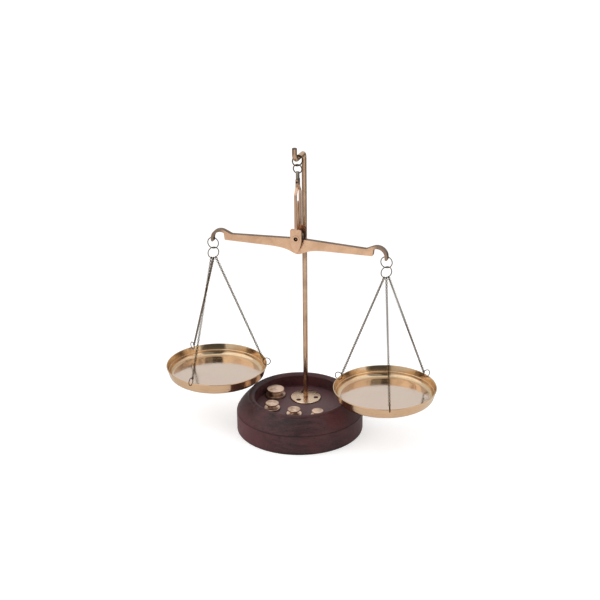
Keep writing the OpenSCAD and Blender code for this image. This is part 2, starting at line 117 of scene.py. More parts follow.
def aimed_camera():
    """A camera that looks at AIM from DISTANCE, turned, raised and rolled as measured."""
    back = Vector((sin(TURN) * cos(RISE), -cos(TURN) * cos(RISE), sin(RISE)))
    right = Vector((cos(TURN), sin(TURN), 0))
    up = back.cross(right)
    rolled_right = cos(ROLL) * right + sin(ROLL) * up
    rolled_up = -sin(ROLL) * right + cos(ROLL) * up
    data = bpy.data.cameras.new("camera")
    data.sensor_width, data.lens = SENSOR, LENS
    data.shift_x, data.shift_y = SHIFT
    data.clip_start = 0.05
    camera = bpy.data.objects.new("camera", data)
    bpy.context.scene.collection.objects.link(camera)
    turned = Matrix((rolled_right, rolled_up, back)).transposed().to_4x4()
    camera.matrix_world = Matrix.Translation(AIM + DISTANCE * back) @ turned
    return camera


bpy.context.scene.camera = aimed_camera()
print("camera at", [round(v, 3) for v in bpy.context.scene.camera.matrix_world.translation])

# %% [markdown]
# ## Helpers for materials
#
# A procedural material is a small network of nodes. Writing each link by hand hides the idea, so a few
# helpers make the usual blocks: noise, a ramp from one colour to another, a mix, a bump. Every pattern
# reads Object coordinates, which stay with the piece when a joint moves it.

# %% Helpers that build nodes
class Finish:
    """A material under construction: its node tree, its shader and short ways to add nodes."""

    def __init__(self, name, **settings):
        self.material = bpy.data.materials.new(name)
        self.material.use_nodes = True
        self.tree = self.material.node_tree
        self.shader = self.tree.nodes["Principled BSDF"]
        self.place = self.add("ShaderNodeTexCoord")
        for socket, value in settings.items():
            self.shader.inputs[socket.replace("_", " ")].default_value = value

    def add(self, kind, **inputs):
        node = self.tree.nodes.new(kind)
        for name, value in inputs.items():
            self.give(node.inputs[name.replace("_", " ")], value)
        return node

    def give(self, socket, value):
        if isinstance(value, bpy.types.NodeSocket):
            self.tree.links.new(value, socket)
        else:
            socket.default_value = value

    def mapped(self, scale=(1, 1, 1), centre=(0, 0, 0), turn=(0, 0, 0)):
        """Object coordinates from a centre, turned and scaled."""
        node = self.add("ShaderNodeMapping", Vector=self.place.outputs["Object"])
        node.vector_type = "TEXTURE"
        node.inputs["Location"].default_value = centre
        node.inputs["Rotation"].default_value = turn
        node.inputs["Scale"].default_value = [1 / s for s in scale]
        return node.outputs["Vector"]

    def noise(self, where, scale, detail=4.0, rough=0.55, bend=0.0):
        node = self.add("ShaderNodeTexNoise", Vector=where, Scale=scale, Detail=detail, Roughness=rough,
                        Distortion=bend)
        return node.outputs["Fac"]

    def ramp(self, value, low, high, start=0.0, end=1.0):
        """Value between low and high, stretched to run from start to end."""
        node = self.add("ShaderNodeMapRange", Value=value)
        node.inputs["From Min"].default_value, node.inputs["From Max"].default_value = low, high
        node.inputs["To Min"].default_value, node.inputs["To Max"].default_value = start, end
        return node.outputs["Result"]

    def maths(self, what, a, b=0.0):
        node = self.tree.nodes.new("ShaderNodeMath")
        node.operation = what
        self.give(node.inputs[0], a)
        self.give(node.inputs[1], b)
        return node.outputs[0]

    def parts(self, vector):
        """The X, Y and Z of a vector."""
        return self.add("ShaderNodeSeparateXYZ", Vector=vector).outputs

    def distance(self, a, b):
        """How far a point lies from an axis, from its two coordinates square to that axis."""
        squares = self.maths("ADD", self.maths("MULTIPLY", a, a), self.maths("MULTIPLY", b, b))
        return self.maths("SQRT", squares)

    def blend(self, share, a, b):
        """Colour a where share is 0, colour b where it is 1."""
        node = self.tree.nodes.new("ShaderNodeMix")
        node.data_type = "RGBA"
        self.give(node.inputs["Factor"], share)
        self.give(node.inputs[6], a)
        self.give(node.inputs[7], b)
        return node.outputs[2]

    def bump(self, height, depth, strength=1.0, over=None):
        """A bump of the given depth in metres, on top of another one if there is one."""
        node = self.add("ShaderNodeBump", Height=height, Distance=depth, Strength=strength)
        if over is not None:
            self.give(node.inputs["Normal"], over)
        return node.outputs["Normal"]

    def set(self, **inputs):
        for name, value in inputs.items():
            self.give(self.shader.inputs[name.replace("_", " ")], value)

    def tint(self, share, colour):
        """Lays a colour over the finish so far, wherever share is 1."""
        was = self.shader.inputs["Base Color"].links[0].from_socket
        self.set(Base_Color=self.blend(share, was, colour))
        return self


def srgb(r, g, b):
    """A colour measured as 0 to 255 in a picture, as the linear colour that nodes work in."""
    return tuple(c / 255 / 12.92 if c <= 10 else ((c / 255 + 0.055) / 1.055) ** 2.4 for c in (r, g, b)) + (1,)


print("a mid grey of 128 is", round(srgb(128, 128, 128)[0], 3), "in linear light")

# %% [markdown]
# ## The floor, the light and the surroundings
#
# Metal shows what stands around it, so the surroundings are part of its look. The balance stands on a
# white table. The table's brightness could come from strong lamps, but they would bleach the brass, so
# the white is added only for rays from the camera and from mirrors, and the lamps stay at a plain
# level. The shadow of the balance still falls on the table, because only part of the white is added.
#
# A round rod that is seen from above mirrors the table on all its sides, never the room. It would look
# flat if the table were the same white everywhere, so the mirrored white fades behind the balance and
# far away, and the rod gets darker flanks from it. The camera never sees that fading.

# %% Make the white table
TABLE_HALF = 6.0
BEHIND, BEFORE = -0.42, 0.02        # where the mirrored white fades, counted towards the camera
FAR, NEAR = 0.85, 0.30              # where it fades to the sides
SEEN_GLOW = (0.88, 0.52)            # the white that the camera gets, outside and inside that area
MIRRORED_GLOW = 0.20


def white_table():
    h = TABLE_HALF
    mesh = bpy.data.meshes.new("table")
    mesh.from_pydata([(-h, -h, 0), (h, -h, 0), (h, h, 0), (-h, h, 0)], [], [(0, 1, 2, 3)])
    table = bpy.data.objects.new("table", mesh)
    bpy.context.scene.collection.objects.link(table)
    finish = Finish("table_white", Roughness=0.9)
    where = finish.mapped()
    x, y, _ = finish.parts(where)
    forward = finish.maths("ADD", finish.maths("MULTIPLY", x, sin(TURN)),
                           finish.maths("MULTIPLY", y, -cos(TURN)))
    sideways = finish.maths("ADD", finish.maths("MULTIPLY", x, cos(TURN)),
                            finish.maths("MULTIPLY", y, sin(TURN)))
    lit = finish.maths("MULTIPLY", finish.ramp(forward, BEHIND, BEFORE),
                       finish.ramp(finish.maths("ABSOLUTE", sideways), FAR, NEAR))
    paper = finish.noise(where, 90, 3)
    pale = finish.blend(finish.ramp(paper, 0.3, 0.7), srgb(226, 226, 226), srgb(232, 232, 232))
    finish.set(Base_Color=finish.blend(lit, srgb(122, 118, 113), pale))
    path = finish.add("ShaderNodeLightPath")
    camera = finish.maths("MULTIPLY", path.outputs["Is Camera Ray"], finish.ramp(lit, 0.0, 1.0, *SEEN_GLOW))
    mirror = finish.maths("MAXIMUM", path.outputs["Is Glossy Ray"], path.outputs["Is Transmission Ray"])
    mirrored = finish.maths("MULTIPLY", mirror, finish.maths("MULTIPLY", lit, MIRRORED_GLOW))
    glow = finish.add("ShaderNodeEmission", Color=(1, 1, 1, 1),
                      Strength=finish.maths("ADD", camera, mirrored))
    both = finish.tree.nodes.new("ShaderNodeAddShader")
    finish.give(both.inputs[0], finish.shader.outputs[0])
    finish.give(both.inputs[1], glow.outputs[0])
    finish.give(finish.tree.nodes["Material Output"].inputs["Surface"], both.outputs[0])
    table.data.materials.append(finish.material)
    table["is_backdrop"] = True
    return table


print("made", white_table().name)

# %% [markdown]
# The room around the table is a gradient on the world: a wide bright ceiling, softer walls, and a dark
# upright strip on the side from which the photograph was taken, which stays there in other views. A
# picture of a real room could be used, but a rule in a few nodes is enough. The strip has clear edges,
# because the photograph shows them as a dark block with sharp sides in the far wall of each pan.
# For the camera itself the room is plain white, like the table, so that no horizon shows from any side.

# %% Make the room
STRIP_LEFT, STRIP_RIGHT = (-19, -14), (37, 42)      # the bearings of its two soft edges, in degrees
STRIP_TOP = (0.88, 0.96)                            # the heights between which it ends
STRIP_DEPTH = 0.88
WALLS = (-0.05, 0.50, 0.78, 0.98)                   # from height to height, and from level to level
WALL_LOSS = (radians(60), radians(120), 0.0, 0.10)  # how much darker the side walls and the far one are


def room():
    world = bpy.data.worlds.new("room")
    bpy.context.scene.world = world
    world.use_nodes = True
    tree = world.node_tree
    place = tree.nodes.new("ShaderNodeTexCoord")
    apart = tree.nodes.new("ShaderNodeSeparateXYZ")
    tree.links.new(place.outputs["Generated"], apart.inputs[0])

    def maths(what, a, b=0.0):
        node = tree.nodes.new("ShaderNodeMath")
        node.operation = what
        for socket, value in zip(node.inputs, (a, b)):
            if isinstance(value, bpy.types.NodeSocket):
                tree.links.new(value, socket)
            else:
                socket.default_value = value
        return node.outputs[0]

    def smooth(value, low, high, start, end):
        node = tree.nodes.new("ShaderNodeMapRange")
        node.interpolation_type = "SMOOTHSTEP"
        tree.links.new(value, node.inputs["Value"])
        for name, v in (("From Min", low), ("From Max", high), ("To Min", start), ("To Max", end)):
            node.inputs[name].default_value = v
        return node.outputs["Result"]

    x, y, z = (apart.outputs[k] for k in range(3))
    towards = maths("ADD", maths("MULTIPLY", x, sin(TURN)), maths("MULTIPLY", y, -cos(TURN)))
    sideways = maths("ADD", maths("MULTIPLY", x, cos(TURN)), maths("MULTIPLY", y, sin(TURN)))
    bearing = maths("ARCTAN2", sideways, towards)
    strip = maths("MULTIPLY", smooth(bearing, radians(STRIP_LEFT[0]), radians(STRIP_LEFT[1]), 0.0, 1.0),
                  smooth(bearing, radians(STRIP_RIGHT[0]), radians(STRIP_RIGHT[1]), 1.0, 0.0))
    dark = maths("MULTIPLY", maths("MULTIPLY", strip, smooth(z, *STRIP_TOP, 1.0, 0.0)), STRIP_DEPTH)
    height = smooth(z, *WALLS)
    side = smooth(maths("ABSOLUTE", bearing), *WALL_LOSS)
    level = maths("MULTIPLY", maths("SUBTRACT", height, side), maths("SUBTRACT", 1.0, dark))
    seen = tree.nodes.new("ShaderNodeLightPath").outputs["Is Camera Ray"]
    level = maths("MAXIMUM", level, seen)
    back = tree.nodes["Background"]
    back.inputs["Color"].default_value = (1, 1, 1, 1)
    tree.links.new(level, back.inputs["Strength"])
    return world


print("made", room().name)

# %% [markdown]
# Two large soft lamps do the rest: one high on the left, which is the side from which the shoulder of
# the base and the pans are lit, and a weaker one on the right. Small lamps would give hard shadows
# that the photograph doesn't have, and a small lamp would also stand as a bright patch in the walls of
# the pans. The same light from a larger disc is a mild glow there.

# %% Hang the lamps
def soft_lamp(name, place, size, watts, tint=(1, 1, 1)):
    data = bpy.data.lights.new(name, "AREA")
    data.shape = "DISK"
    data.size = size
    data.energy = watts
    data.color = tint
    lamp = bpy.data.objects.new(name, data)
    bpy.context.scene.collection.objects.link(lamp)
    way = Vector(AIM) - Vector(place)
    lamp.matrix_world = Matrix.Translation(place) @ way.to_track_quat("-Z", "Y").to_matrix().to_4x4()
    return lamp


lamps = [
    soft_lamp("lamp_left", (-1.1, -0.9, 1.5), 2.6, 9, (1, 0.98, 0.95)),
    soft_lamp("lamp_right", (1.5, -0.6, 1.2), 2.6, 4.5),
]
print("hung", [lamp.name for lamp in lamps])

# %% [markdown]
# ## The wood
#
# The base was turned on a lathe from one piece of dark reddish hardwood and then polished. Its
# grain runs straight across the piece, so the same streaks show long on the tray's floor and short
# on the sides. Rings of a tree could be drawn with a wave pattern. Here a noise that is stretched along
# the grain gives the streaks, a coarser one the reddish clouds, and a third one the fine open pores. The
# lower left side is painted lighter and redder, as painted light, the tray's floor is painted paler in
# specks, as a painted sheen, and its hollows are painted dark, as painted shade.

# %% Mix the wood finish
TRAY_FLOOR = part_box("weight_1")[0][2]
GRAIN_TURN = radians(24)
RED_FROM, RED_TO = 0.034, 0.018         # the heights between which the left side is painted lighter and redder, going down
TRAY_EDGE = (0.0460, 0.0440)            # the radius at which the painted sheen on the tray's floor fades
TRAY_SHEEN_RISE = (0.0030, 0.0010)           # the height over the tray's floor at which it fades


def polished_wood():
    f = Finish("dark_turned_wood", Coat_Weight=0.15, Coat_Roughness=0.3, IOR=1.45, Specular_IOR_Level=0.25)
    streaks = f.noise(f.mapped(scale=(0.16, 1, 1), turn=(0.05, 0.03, GRAIN_TURN)), 190, 6, 0.6, 0.6)
    clouds = f.noise(f.mapped(scale=(0.5, 1, 1), turn=(0, 0.2, GRAIN_TURN)), 26, 4, 0.55, 0.4)
    pores = f.noise(f.mapped(scale=(0.12, 1, 1), turn=(0.05, 0.03, GRAIN_TURN)), 1500, 2, 0.5)
    specks = f.noise(f.mapped(), 900, 3, 0.65)
    body = f.blend(f.ramp(streaks, 0.34, 0.66), srgb(42, 27, 29), srgb(82, 53, 54))
    x, y, z = f.parts(f.mapped())
    # Painted light: the lower left side of the base, which the left lamp lights, is painted lighter and
    # redder.
    leftward = f.ramp(x, 0.015, -0.050, 0.0, 0.78)
    clouds_and_left_light = f.maths("MAXIMUM", f.ramp(clouds, 0.45, 0.68, 0.0, 0.55),
                     f.maths("MULTIPLY", leftward, f.ramp(z, RED_FROM, RED_TO)))
    red = f.blend(clouds_and_left_light, body, srgb(104, 50, 54))
    rubbed = f.blend(f.ramp(specks, 0.50, 0.75, 0.0, 0.35), red, srgb(100, 70, 66))
    colour = f.blend(f.ramp(pores, 0.40, 0.30, 0.0, 0.75), rubbed, srgb(17, 10, 10))
    # Painted sheen: the tray's floor is painted paler in specks.
    in_tray = f.maths("MULTIPLY", f.ramp(f.distance(x, y), *TRAY_EDGE),
                      f.ramp(z, *(TRAY_FLOOR + rise for rise in TRAY_SHEEN_RISE)))
    painted_tray_sheen = f.maths("MULTIPLY", in_tray, f.ramp(specks, 0.30, 0.65, 0.35, 0.75))
    colour = f.blend(painted_tray_sheen, colour, srgb(112, 84, 86))
    # Painted shade: hollows and corners of the wood are darkened to near black by an occlusion mask.
    hollow = f.add("ShaderNodeAmbientOcclusion", Distance=0.002)
    hollow_shaded = f.blend(f.ramp(hollow.outputs["AO"], 0.90, 0.55, 0.0, 0.92), colour, srgb(14, 8, 9))
    grain = f.bump(f.ramp(pores, 0.30, 0.42), 0.00006, 0.7)
    waves = f.bump(streaks, 0.00012, 0.35, f.bump(specks, 0.00005, 0.5, grain))
    f.set(Base_Color=hollow_shaded, Roughness=f.ramp(streaks, 0.3, 0.7, 0.46, 0.62), Normal=waves)
    return f.material


wood = polished_wood()
print("mixed", wood.name)

# %% [markdown]
# ## The brass
#
# All the yellow metal is brass, but each piece has its own finish: the beam and the fork are cast and
# filed to a satin face, the rod is drawn and polished, the pans are spun bright, and the chains were
# never cleaned and have gone olive brown. One function makes them all from a clean colour, a tarnish
# colour and a few numbers. Separate materials could be copied and changed by hand, but then a change
# to the way tarnish gathers would have to be made again for each of them.

# %% Mix the brass finishes
HOLLOW_SHADE = srgb(52, 38, 26)


def brass(name, clean, tarnish, rough, patches, cover, scratch=(1, 1, 1), crevice=0.005, depth=0.00002):
    """Brass with tarnish in soft patches, fine scratches one way, dull spots and painted shade in hollows."""
    f = Finish(name, Metallic=1.0)
    where = f.mapped()
    clouds = f.noise(where, patches, 5, 0.6, 0.3)
    spots = f.noise(where, patches * 14, 3, 0.6)
    lines = f.noise(f.mapped(scale=scratch), 2600, 3, 0.7)
    worn = f.blend(f.ramp(clouds, 0.42, 0.70, 0.0, cover), clean, tarnish)
    spotted = f.blend(f.ramp(spots, 0.62, 0.74, 0.0, 0.5), worn, tarnish)
    scratched = f.blend(f.ramp(lines, 0.35, 0.65, 0.0, 0.16), spotted, tarnish)
    # Painted shade: hollows and gaps between parts are darkened towards dark brown by an occlusion mask.
    hollow = f.add("ShaderNodeAmbientOcclusion", Distance=crevice)
    colour = f.blend(f.ramp(hollow.outputs["AO"], 0.80, 0.30, 0.0, 0.90), scratched, HOLLOW_SHADE)
    dull = f.ramp(clouds, 0.35, 0.70, rough - 0.05, rough + 0.10)
    f.set(Base_Color=colour, Roughness=f.maths("ADD", dull, f.ramp(spots, 0.60, 0.75, 0.0, 0.12)))
    f.set(Normal=f.bump(lines, depth, 0.5, f.bump(clouds, depth * 4, 0.3)))
    return f


def edges_painted_darker(f, most):
    """Painted shade: the narrow faces of a flat plate, all that don't face front or back, are painted darker.
    """
    facing = f.maths("ABSOLUTE", f.parts(f.place.outputs["Normal"])[1])
    return f.tint(f.ramp(facing, 0.80, 0.40, 0.0, most), srgb(78, 64, 52))


def toned_fork(f, pivot):
    """The fork: browner straight legs, and a dark ring on the cheeks around the pivot."""
    x, _, z = f.parts(f.mapped(centre=(0, 0, pivot)))
    f.tint(f.ramp(z, 0.0095, 0.0125, 0.0, 0.6), srgb(178, 146, 124))
    return f.tint(f.ramp(f.distance(x, z), 0.0024, 0.0019, 0.0, 0.97), srgb(40, 20, 14))


def cut_end(f, height):
    """The sawn end of the hook, which was never polished and has gone nearly black."""
    _, _, z = f.parts(f.mapped())
    return f.tint(f.ramp(z, height - 0.0006, height - 0.0003, 0.0, 0.95), srgb(34, 20, 20))


def necks_painted_darker(f):
    """Painted shade: the swan necks at the beam's ends are painted browner than its flat faces."""
    x, _, _ = f.parts(f.mapped())
    return f.tint(f.ramp(f.maths("ABSOLUTE", x), 0.0765, 0.0820, 0.0, 0.80), srgb(124, 108, 97))


PIVOT_HEIGHT, HOOK_TOP = 0.208715, 0.302345
ALONG_X, ALONG_Z, ALONG_POST = (0.08, 1, 1), (1, 1, 0.08), (1, 1, 0.06)
cast = brass("satin_beam_brass", srgb(240, 198, 163), srgb(182, 136, 102), 0.32, 70, 0.35, ALONG_X)
satin = necks_painted_darker(edges_painted_darker(cast, 0.85)).material
filed = brass("satin_fork_brass", srgb(244, 202, 168), srgb(184, 136, 104), 0.32, 70, 0.35, ALONG_Z)
fork_brass = toned_fork(edges_painted_darker(filed, 0.75), PIVOT_HEIGHT).material
rod = brass("drawn_rod_brass", srgb(206, 172, 142), srgb(132, 98, 72), 0.20, 50, 0.45, ALONG_POST)
drawn = cut_end(rod, HOOK_TOP).material
turned = brass("turned_flange_brass", srgb(240, 212, 184), srgb(144, 112, 88), 0.24, 80, 0.35).material
weights = brass("turned_weight_brass", srgb(236, 206, 182), srgb(142, 110, 90), 0.34, 130, 0.75,
                crevice=0.0007).material
ring_metal = brass("old_ring_brass", srgb(92, 72, 46), srgb(40, 29, 17), 0.34, 220, 0.85,
                   crevice=0.0015).material
print("mixed", [m.name for m in (satin, fork_brass, drawn, turned, weights, ring_metal)])

# %% [markdown]
# The pans are spun from sheet on a lathe, and the tool leaves fine rings round the middle. The floor
# is painted pale, a painted reflection of the bright ceiling above it, and the walls keep the deeper gold.
# The rings could be modelled, but they are thinner than a hair, so they are a fine noise that changes
# only along the radius of each pan.

# %% Mix the spun finish of a pan
ARM = 0.0906
PAN_FLOOR = 0.0468
MARKS_PER_METRE = 2600.0
PALE_FLOOR_OUT, PALE_FLOOR_UP = (0.0462, 0.0450), (0.0030, 0.0012)      # where the painted pale reflection on the floor ends


def spun_pan(name, centre):
    f = brass(name, srgb(218, 194, 160), srgb(150, 120, 86), 0.10, 40, 0.30)
    around = f.mapped(centre=centre)
    x, y, z = f.parts(around)
    radius = f.distance(x, y)
    marks = f.add("ShaderNodeTexNoise", Scale=1.0, Detail=3.0, Roughness=0.6)
    marks.noise_dimensions = "1D"
    f.give(marks.inputs["W"], f.maths("MULTIPLY", f.maths("ADD", radius, z), MARKS_PER_METRE))
    floor = f.maths("MULTIPLY", f.ramp(radius, *PALE_FLOOR_OUT), f.ramp(z, *PALE_FLOOR_UP))
    f.tint(f.ramp(f.noise(around, 9, 2), 0.38, 0.62, 0.0, 0.55), srgb(214, 168, 132))
    # Painted reflection: the floor is painted pale, as the bright ceiling that it mirrors would make it.
    pale_floor_reflection = f.blend(f.ramp(marks.outputs["Fac"], 0.35, 0.65), srgb(226, 209, 197), srgb(212, 195, 181))
    f.tint(f.maths("MULTIPLY", floor, 0.85), pale_floor_reflection)
    before = f.shader.inputs["Normal"].links[0].from_socket
    f.set(Normal=f.bump(marks.outputs["Fac"], 0.00001, 0.5, before))
    return f.material


pan_finish = {side: spun_pan(f"spun_brass_{side}", (x, 0, PAN_FLOOR))
              for side, x in (("left", -ARM), ("right", ARM))}
print("mixed", [m.name for m in pan_finish.values()])

# %% [markdown]
# ## Steel and felt
#
# The strap, rivet, pivot and screws are plain steel with a grey or nearly black skin. The disc under
# the base is green felt, whose look is soft because its fibres stand up: a noise in all directions
# with a little sheen.

# %% Mix the steel and the felt
def dark_steel(name, light, dark, rough):
    f = Finish(name, Metallic=1.0)
    where = f.mapped()
    mill = f.noise(where, 420, 5, 0.65)
    rust = f.noise(where, 160, 4, 0.6)
    colour = f.blend(f.ramp(mill, 0.35, 0.65), dark, light)
    f.set(Base_Color=f.blend(f.ramp(rust, 0.60, 0.75, 0.0, 0.35), colour, srgb(96, 70, 52)))
    f.set(Roughness=f.ramp(mill, 0.3, 0.7, rough - 0.06, rough + 0.1), Normal=f.bump(mill, 0.00003, 0.5))
    return f


def green_felt():
    f = Finish("green_felt", Roughness=0.95, Sheen_Weight=0.4, Sheen_Roughness=0.5)
    where = f.mapped()
    fibres = f.noise(where, 2600, 4, 0.75, 1.2)
    clumps = f.noise(where, 320, 3)
    colour = f.blend(f.ramp(fibres, 0.3, 0.7), srgb(20, 50, 34), srgb(52, 96, 68))
    f.set(Base_Color=f.blend(f.ramp(clumps, 0.4, 0.7, 0.0, 0.4), colour, srgb(34, 70, 50)))
    f.set(Normal=f.bump(fibres, 0.0002, 0.8))
    return f.material


def pivot_steel_with_highlight(height):
    """Nearly black steel with a painted highlight: a bright spot at the very middle of its end."""
    f = dark_steel("pivot_steel_painted_highlight", srgb(46, 18, 12), srgb(20, 8, 6), 0.42)
    x, _, z = f.parts(f.mapped(centre=(0, 0, height)))
    return f.tint(f.ramp(f.distance(x, z), 0.00055, 0.00030), srgb(226, 190, 160))


strap_steel = dark_steel("grey_strap_steel", srgb(174, 166, 154), srgb(112, 104, 98), 0.34).material
pin_steel = dark_steel("blackened_steel", srgb(92, 84, 78), srgb(44, 38, 36), 0.36).material
screw_steel = dark_steel("browned_screw_steel", srgb(104, 62, 44), srgb(46, 24, 18), 0.36).material
pivot_end = pivot_steel_with_highlight(PIVOT_HEIGHT).material
felt = green_felt()
print("mixed", strap_steel.name, pin_steel.name, screw_steel.name, pivot_end.name, felt.name)

# %% [markdown]
# ## Giving the solids their finishes
#
# Most solids are already the right shape, so they stay and only their material changes. A list of
# names for each finish keeps this readable.

# %% Give the finishes out
FINISH_OF = [
    (wood, ["base"]),
    (felt, ["base_felt"]),
    (drawn, ["post"]),
    (turned, ["post_flange"]),
    (satin, ["beam", "needle"]),
    (fork_brass, ["fork_front", "fork_back"]),
    (weights, ["weight_1", "weight_2", "weight_3", "weight_4"]),
    (ring_metal, ["hook_ring", "link_ring", "left_hook_ring", "right_hook_ring",
                   "left_collecting_ring", "right_collecting_ring"]),
    (strap_steel, ["hanger_strap"]),
    (pin_steel, ["hanger_rivet"]),
    (pivot_end, ["pivot_pin"]),
    (screw_steel, ["flange_screws"]),
]


def give_finish(piece, finish):
    piece.data.materials.clear()
    piece.data.materials.append(finish)


for finish, names in FINISH_OF:
    for name in names:
        give_finish(NODES[name], finish)
print("finished", sum(len(names) for _, names in FINISH_OF), "solids")

# %% [markdown]
# ## Growing pieces by rule
#
# Three kinds of piece on the balance follow a rule: the pans, which are one outline spun round an axis,
# the rings in their rims, which are one ring set three times round it, and the chains, which are one
# link repeated between two rings. Geometry Nodes are made for that. A tree holds the rule, its inputs
# hold the sizes, and the grown mesh is then kept as a plain mesh, so that nothing depends on the tree
# afterwards.

# %% A helper that builds Geometry Nodes trees
class Tree:
    """A Geometry Nodes tree with named inputs and short ways to add nodes."""

    def __init__(self, name, inputs):
        self.group = bpy.data.node_groups.new(name, "GeometryNodeTree")
        self.ids = {}
        for label, kind in inputs.items():
            socket = self.group.interface.new_socket(label, in_out="INPUT", socket_type="NodeSocket" + kind)
            self.ids[label] = socket.identifier
        self.group.interface.new_socket("Geometry", in_out="OUTPUT", socket_type="NodeSocketGeometry")
        self.start = self.group.nodes.new("NodeGroupInput")
        self.end = self.group.nodes.new("NodeGroupOutput")

    def given(self, label):
        return self.start.outputs[label]

    def link(self, value, socket):
        if isinstance(value, bpy.types.NodeSocket):
            self.group.links.new(value, socket)
        else:
            socket.default_value = value

    def add(self, kind, **inputs):
        node = self.group.nodes.new(kind)
        for name, value in inputs.items():
            self.link(value, node.inputs[name.replace("_", " ")])
        return node

    def maths(self, what, a, b=0.0):
        node = self.group.nodes.new("ShaderNodeMath")
        node.operation = what
        self.link(a, node.inputs[0])
        self.link(b, node.inputs[1])
        return node.outputs[0]

    def vector(self, what, a, b=(0, 0, 0), scale=None):
        node = self.group.nodes.new("ShaderNodeVectorMath")
        node.operation = what
        self.link(a, node.inputs[0])
        if scale is None:
            self.link(b, node.inputs[1])
        else:
            self.link(scale, node.inputs["Scale"])
        return node.outputs["Value" if what in ("DOT_PRODUCT", "LENGTH") else "Vector"]

    def square_to(self, v, way):
        """The part of v that stands square to way, as a unit vector."""
        along = self.vector("SCALE", way, scale=self.vector("DOT_PRODUCT", v, way))
        return self.vector("NORMALIZE", self.vector("SUBTRACT", v, along))

    def turned(self, a, b, angle):
        """The direction a turned by angle towards b."""
        part_a = self.vector("SCALE", a, scale=self.maths("COSINE", angle))
        part_b = self.vector("SCALE", b, scale=self.maths("SINE", angle))
        return self.vector("ADD", part_a, part_b)

    def wire_ring(self, radius, wire, around, across):
        """A closed ring of round wire round Z."""
        circle = "GeometryNodeCurvePrimitiveCircle"
        path = self.add(circle, Resolution=around, Radius=radius).outputs["Curve"]
        half = self.maths("MULTIPLY", wire, 0.5)
        section = self.add(circle, Resolution=across, Radius=half).outputs["Curve"]
        return self.add("GeometryNodeCurveToMesh", Curve=path, Profile_Curve=section).outputs["Mesh"]

    def compare(self, what, a, b):
        node = self.group.nodes.new("FunctionNodeCompare")
        node.data_type, node.operation = "FLOAT", what
        self.link(a, node.inputs[0])
        self.link(b, node.inputs[1])
        return node.outputs[0]

    def pick(self, index, values, kind):
        """The value whose place in the list is index."""
        node = self.group.nodes.new("GeometryNodeIndexSwitch")
        node.data_type = kind
        while len(node.index_switch_items) < len(values):
            node.index_switch_items.new()
        self.link(index, node.inputs["Index"])
        for k, value in enumerate(values):
            self.link(value, node.inputs[1 + k])
        return node.outputs[0]

    def close(self, shape, finish, crease=None):
        """Ends the tree: real geometry, smooth faces, sharp edges over the crease angle, and the finish."""
        real = self.add("GeometryNodeRealizeInstances", Geometry=shape)
        soft = self.add("GeometryNodeSetShadeSmooth", Geometry=real.outputs[0], Shade_Smooth=True)
        if crease is not None:
            angle = self.add("GeometryNodeInputMeshEdgeAngle").outputs["Unsigned Angle"]
            sharp = self.compare("GREATER_THAN", angle, crease)
            soft = self.add("GeometryNodeSetShadeSmooth", Geometry=soft.outputs[0], Selection=sharp,
                            Shade_Smooth=False)
            soft.domain = "EDGE"
        painted = self.add("GeometryNodeSetMaterial", Geometry=soft.outputs[0], Material=finish)
        self.link(painted.outputs[0], self.end.inputs["Geometry"])
        return self


def grown(name, tree, values):
    """The plain mesh object that a tree makes from these values."""
    piece = bpy.data.objects.new(name, bpy.data.meshes.new(name))
    bpy.context.scene.collection.objects.link(piece)
    growth = piece.modifiers.new("growth", "NODES")
    growth.node_group = tree.group
    for label, value in values.items():
        growth[tree.ids[label]] = value
    depsgraph = bpy.context.evaluated_depsgraph_get()
    mesh = bpy.data.meshes.new_from_object(piece.evaluated_get(depsgraph))
    piece.modifiers.remove(growth)
    piece.data = mesh
    mesh.name = name
    return piece


print("the helper can grow meshes from trees")

# %% [markdown]
# ## The pans
#
# A pan was pressed over a turned form while it spun: a nearly flat floor, a round corner, a slightly
# flared wall with one ridge, and a small bead where the edge was rolled over. The solid model has the
# same pan with a plain wall. It could stay, but the mirrored bands in a polished pan come from just
# that corner, the ridge and the bead, so a finer one is grown. The outline's corners are points, Fillet
# Curve rounds each with its own radius, and a grid is wound round the axis so that each of its rows is
# one outline point. Last, three holes are cut for the rings.

# %% The tree that spins a pan
RIDGE_RISE = 0.0003                             # the height over which the ridge steps outwards
OUTER_EDGE, INNER_EDGE = 0.00025, 0.00018       # how round the ridge's edges are, outside and inside
BEAD_FOOT = 0.0001                              # how far the wall sinks in under the bead
CREASE = radians(32)                            # edges sharper than this stay sharp
FLOOR_STEPS, FILLET_STEPS = 6, 8
SEAM = 0.000002                                 # points closer than this are one
DRILL_LENGTH = 0.006


